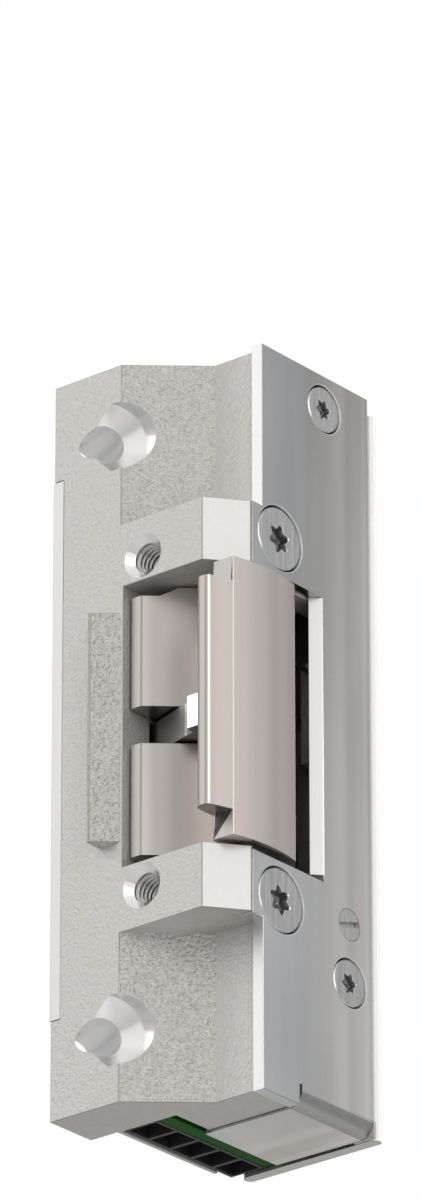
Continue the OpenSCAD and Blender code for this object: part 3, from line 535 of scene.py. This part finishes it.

# ---------------------------------------------------------------------------------------
# The keeper is a casting in satin nickel: two ramp blocks, a hub and a bowed arm with a
# forward nose. Its long edges are softened and it is brushed along its height. Painted light
# runs in bands along its depth, and the ramp blocks are painted darker towards the rear as
# painted shade. The faces that look forward or to the front left are rougher and painted dark
# as painted shade.
# Painted light: the keeper's colour rises and falls in bands along its depth as painted reflections, and
# falls towards the rear as painted shade.
keeper_skin = sheet_metal("satin_nickel", (0.80, 0.755, 0.715), 0.30, (
    (-0.0024, (0.90, 0.89, 0.88)), (-0.0008, (1.0, 0.98, 0.97)), (0.0008, (1.0, 0.98, 0.97)),
    (0.0032, (1.0, 0.97, 0.96)), (0.0052, (0.95, 0.96, 0.97)),
    (0.0078, (0.88, 0.87, 0.86)), (0.0098, (0.97, 0.95, 0.94)), (0.0125, (0.94, 0.88, 0.87)),
    (0.0142, (0.80, 0.78, 0.77))), bump=0.000003)
# Painted shade: the ramp blocks grow darker towards the rear.
ramp_skin = sheet_metal("satin_nickel_ramp", (0.80, 0.765, 0.735), 0.32, (
    (0.0012, (0.74, 0.73, 0.72)), (0.0024, (0.60, 0.59, 0.585)), (0.0060, (0.52, 0.51, 0.505)),
    (0.0100, (0.44, 0.43, 0.425))), bump=0.000003)
# Painted shade: a dark, rougher copy of the nickel for the faces that look forward or to the front left.
shaded_front_skin = sheet_metal("satin_nickel_front_painted_shade", (0.42, 0.405, 0.39), 0.46, bump=0.000003)
ARM_X = 24.65  # where the arm starts beside the ramp blocks, in millimetres
ARM, RAMPS, SHADED_FRONTS = range(3)
bm = solid_copy("keeper")
round_edges(bm, 0.10 * MM, 5.0 * MM, segments=3)
for face in bm.faces:
    c, n = face.calc_center_median(), face.normal
    if n.y < -0.8 or (n.x < -0.05 and n.y < -0.3):
        face.material_index = SHADED_FRONTS
    else:
        face.material_index = RAMPS if c.x < at(ARM_X - 0.2, 0, 0).x else ARM
as_piece("nickel_keeper", bm, "keeper_body",
         (keeper_skin, ramp_skin, shaded_front_skin), ("keeper",))

# ---------------------------------------------------------------------------------------
# Countersunk screws with six-lobed recesses: two large and two small ones in the side plate,
# and small ones in the back and left plates. Their heads are turned, then brushed straight.
RIM_POINTS = 72
LOBE_DEPTH = 0.16  # how far the recess's outline swings, as a share of its radius
EDGE_DROP = -0.10 * MM  # where the rounded edges of the head and its recess end, below the face
CONE_TOP = -0.28 * MM  # where its 45 degree cone starts


def lobed_screw(spot, outward, head_r, shank_r, length, recess_r, turned=0.0):
    """A screw whose head's face is at spot, with outward pointing out of the recess."""
    bm = bmesh.new()

    def ring(radius, depth, wave=0.0):
        made = bmesh.ops.create_circle(bm, cap_ends=False, segments=RIM_POINTS,
                                        radius=radius)["verts"]
        for vertex in made:
            around = math.atan2(vertex.co.y, vertex.co.x)
            vertex.co *= 1 + wave * (math.cos(6 * (around + turned)) - 1)
            vertex.co.z = depth
        return made

    def edges_of(verts):
        chosen = set(verts)
        return [e for e in bm.edges if e.verts[0] in chosen and e.verts[1] in chosen]

    loops = [ring(recess_r * 0.40, -recess_r * 0.72),
             ring(recess_r * 0.84, -recess_r * 0.62, LOBE_DEPTH),
             ring(recess_r * 0.97, EDGE_DROP, LOBE_DEPTH), ring(recess_r + 0.06 * MM, 0, LOBE_DEPTH),
             ring(head_r - 0.12 * MM, 0.015 * MM), ring(head_r, EDGE_DROP), ring(head_r, CONE_TOP),
             ring(shank_r, CONE_TOP - (head_r - shank_r)), ring(shank_r, -length)]
    for inner, outer in zip(loops, loops[1:]):
        bmesh.ops.bridge_loops(bm, edges=edges_of(inner) + edges_of(outer))
    bmesh.ops.contextual_create(bm, geom=edges_of(loops[0]))
    bmesh.ops.contextual_create(bm, geom=edges_of(loops[-1]))
    bmesh.ops.recalc_face_normals(bm, faces=bm.faces)
    for face in bm.faces:
        c = face.calc_center_median()
        # Faces inside the recess take the darker steel, as painted shade.
        face.material_index = 1 if c.xy.length < recess_r and c.z < -0.05 * MM else 0
    turn_out = Vector((0, 0, 1)).rotation_difference(Vector(outward)).to_matrix().to_4x4()
    bm.transform(Matrix.Translation(spot) @ turn_out)
    return bm


SUNK = 0.14  # how far the screw heads lie below the plate, in millimetres
head_skin = finish_material("brushed_screw_head", (0.66, 0.66, 0.66), 1.0, 0.30,
                            ((4200, 0.000012, 2),), tint=0.16, tint_scale=2600,
                            stretch=(1, 1, 0.05))
# Painted shade: the recesses get a darker steel than the heads.
shaded_recess_skin = finish_material("recess_steel_painted_shade", (0.30, 0.30, 0.31), 1.0, 0.36,
                              ((3000, 0.000004, 2),))
screws = [lobed_screw(at(PLATE_X - SUNK, y, z), (1, 0, 0), 4.1 * MM, 1.97 * MM, 8.6 * MM,
                      1.95 * MM, turned=math.copysign(0.2, z)) for y, z in LARGE_SPOTS]
as_piece("large_cover_screws", join(screws), "base", (head_skin, shaded_recess_skin),
         ("large_plate_screws",), smooth_angle=28)
screws = [lobed_screw(at(PLATE_X - SUNK, y, z), (1, 0, 0), 3.0 * MM, 1.47 * MM, 7.4 * MM,
                      1.4 * MM, turned=0.35) for y, z in SMALL_SPOTS]
as_piece("small_cover_screws", join(screws), "base", (head_skin, shaded_recess_skin),
         ("small_plate_screws",), smooth_angle=28)
TINY_HEAD_R, TINY_SHANK_R, TINY_RECESS_R = 2.15 * MM, 1.12 * MM, 0.9 * MM
BACK_Y = 30.6  # the back plate screws' faces, in millimetres behind the front face
screws = [lobed_screw(at(x, BACK_Y, z), (0, 1, 0), TINY_HEAD_R, TINY_SHANK_R, 7 * MM, TINY_RECESS_R)
          for x, z in ((9.2, 24), (9.2, -24), (24.55, 24), (23.5, -36.6))]
as_piece("back_cover_screws", join(screws), "base", (head_skin, shaded_recess_skin),
         ("back_plate_screws",), smooth_angle=28)
LEFT_X = -0.2  # the left plate screws' faces, in millimetres from the left side
screws = [lobed_screw(at(LEFT_X, 18, z), (-1, 0, 0), TINY_HEAD_R, TINY_SHANK_R, 4.4 * MM,
                      TINY_RECESS_R) for z in (32.2, -32.2)]
as_piece("left_cover_screws", join(screws), "base", (head_skin, shaded_recess_skin),
         ("left_plate_screws",), smooth_angle=28)

# ---------------------------------------------------------------------------------------
# The changeover screw is a small slotted pin, flush with the side plate.
bm = solid_copy("changeover_screw")
round_edges(bm, 0.05 * MM, 0.2 * MM, least_angle=40)
as_piece("slotted_changeover_screw", bm, "changeover_body", (head_skin,),
         ("changeover_screw",))

# ---------------------------------------------------------------------------------------
# The latch feeler is a pressed blade that reaches through the slot between the ramp blocks.
# Its faces that look forward are painted a near-white grey.
feeler_skin = sheet_metal("feeler_nickel", (0.30, 0.297, 0.293), 0.38)
bright_front_skin = sheet_metal("feeler_bright_front", (0.90, 0.89, 0.87), 0.34)
bm = solid_copy("latch_feeler")
round_edges(bm, 0.08 * MM, 0.5 * MM)
for face in bm.faces:
    c, n = face.calc_center_median(), face.normal
    face.material_index = 1 if n.y < -0.85 and c.x > at(17, 0, 0).x else 0
as_piece("feeler_blade", bm, "feeler_body", (feeler_skin, bright_front_skin),
         ("latch_feeler",))

# ---------------------------------------------------------------------------------------
# The connector: a black moulded terminal block beside the edge of a green circuit board,
# with plated clamps and slotted screws.
black_skin = finish_material("black_moulding", (0.022, 0.022, 0.024), 0.0, 0.42,
                             ((1800, 0.000012, 3),), tint=0.15)
bm = solid_copy("terminal_block")
round_edges(bm, 0.08 * MM, 0.6 * MM)
as_piece("moulded_terminal_block", bm, "base", (black_skin,), ("terminal_block",))
board_skin = finish_material("solder_resist", (0.003, 0.080, 0.001), 0.0, 0.55,
                             ((2200, 0.000006, 2),), tint=0.12)
board_skin.node_tree.nodes["Principled BSDF"].inputs["Specular IOR Level"].default_value = 0.15
bm = solid_copy("circuit_board")
round_edges(bm, 0.05 * MM, 0.6 * MM)
as_piece("green_circuit_board", bm, "base", (board_skin,), ("circuit_board",))

# ---------------------------------------------------------------------------------------
# The working parts behind the plates keep their solid shapes. Each gets the finish of its
# real metal, wire or plastic.
inner_finishes = (
    (("keeper_pin", "lock_lever_pin", "armature_pin", "feeler_shaft", "terminal_clamps",
      "terminal_screws"),
     finish_material("ground_steel", (0.68, 0.68, 0.69), 1.0, 0.25, ((4000, 0.000002, 2),),
                     stretch=(1, 1, 0.1))),
    (("keeper_spring", "lock_lever_spring", "armature_spring", "feeler_spring"),
     finish_material("spring_wire", (0.33, 0.33, 0.35), 1.0, 0.32, ((3000, 0.000003, 2),))),
    (("armature", "yoke", "solenoid_core"),
     finish_material("plated_iron", (0.56, 0.57, 0.60), 1.0, 0.38, ((1500, 0.00001, 3),))),
    (("lock_lever",),
     finish_material("sintered_steel", (0.40, 0.39, 0.38), 0.9, 0.5, ((2500, 0.00002, 3),))),
    (("keeper_bushes",),
     finish_material("sintered_bronze", (0.55, 0.36, 0.16), 0.9, 0.45, ((2500, 0.00001, 3),))),
    (("coil_winding",),
     finish_material("enamelled_copper", (0.50, 0.20, 0.07), 0.9, 0.28, ((900, 0.00006, 1),),
                     stretch=(0.05, 0.05, 4))),
    (("coil_bobbin",),
     finish_material("bobbin_nylon", (0.78, 0.73, 0.62), 0.0, 0.5, ((2000, 0.00001, 3),))),
    (("coil_leads",),
     finish_material("lead_insulation", (0.36, 0.02, 0.02), 0.0, 0.45, ((2000, 0.00001, 2),))),
    (("latch_switch", "lock_switch", "suppressor_diode"), black_skin),
    (("latch_switch_plunger", "lock_switch_plunger"),
     finish_material("plunger_acetal", (0.60, 0.10, 0.03), 0.0, 0.4, ((2000, 0.00001, 2),))),
)
for nodes, skin in inner_finishes:
    for node in nodes:
        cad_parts[node].data.materials.clear()
        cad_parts[node].data.materials.append(skin)
